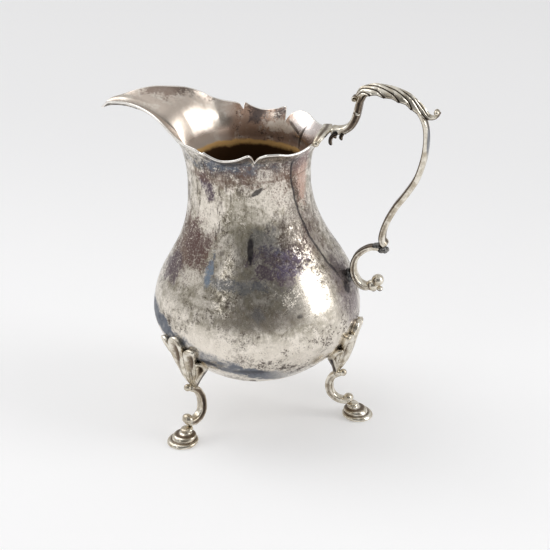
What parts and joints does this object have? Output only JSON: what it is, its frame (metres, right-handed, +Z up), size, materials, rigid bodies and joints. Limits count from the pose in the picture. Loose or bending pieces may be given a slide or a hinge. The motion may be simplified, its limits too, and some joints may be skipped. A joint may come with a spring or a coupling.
{
  "type": "cream jug",
  "caption": "Small pear-shaped silver cream jug with a long drawn pouring lip, scalloped rim, leaf-capped scroll handle and cast shell-knee legs on pad feet.",
  "frame": {"origin": "centre of the object's box at floor level; the body's own upright axis is 3.1 mm towards the lip from it", "axes": "+Z up, +X towards the handle, -X towards the pouring lip, +Y completes a right-handed frame"},
  "size_m": [0.1021, 0.0654, 0.1102],
  "materials": {
    "worn_silver": "sterling silver, rolled and raised, mottled grey-brown tarnish over a worn soft polish",
    "cast_silver": "cast silver, rubbed bright on the high points, dark in the recesses",
    "solder": "dark oxidised silver solder"
  },
  "bodies": {
    "root": {"body": "worn_silver", "handle_scroll": "cast_silver", "handle_leaf": "cast_silver", "handle_curl": "cast_silver", "handle_rim_bracket": "cast_silver", "rim_volute_front": "cast_silver", "rim_volute_back": "cast_silver", "scroll_joint": "solder", "lower_scroll": "cast_silver", "lower_scroll_bud": "cast_silver", "belly_patch": "solder", "knee_shell_handle_side": "cast_silver", "knee_shell_front": "cast_silver", "knee_shell_back": "cast_silver", "leg_scroll_handle_side": "cast_silver", "leg_scroll_front": "cast_silver", "leg_scroll_back": "cast_silver", "pad_foot_handle_side": "cast_silver", "pad_foot_front": "cast_silver", "pad_foot_back": "cast_silver"}
  },
  "joints": []
}
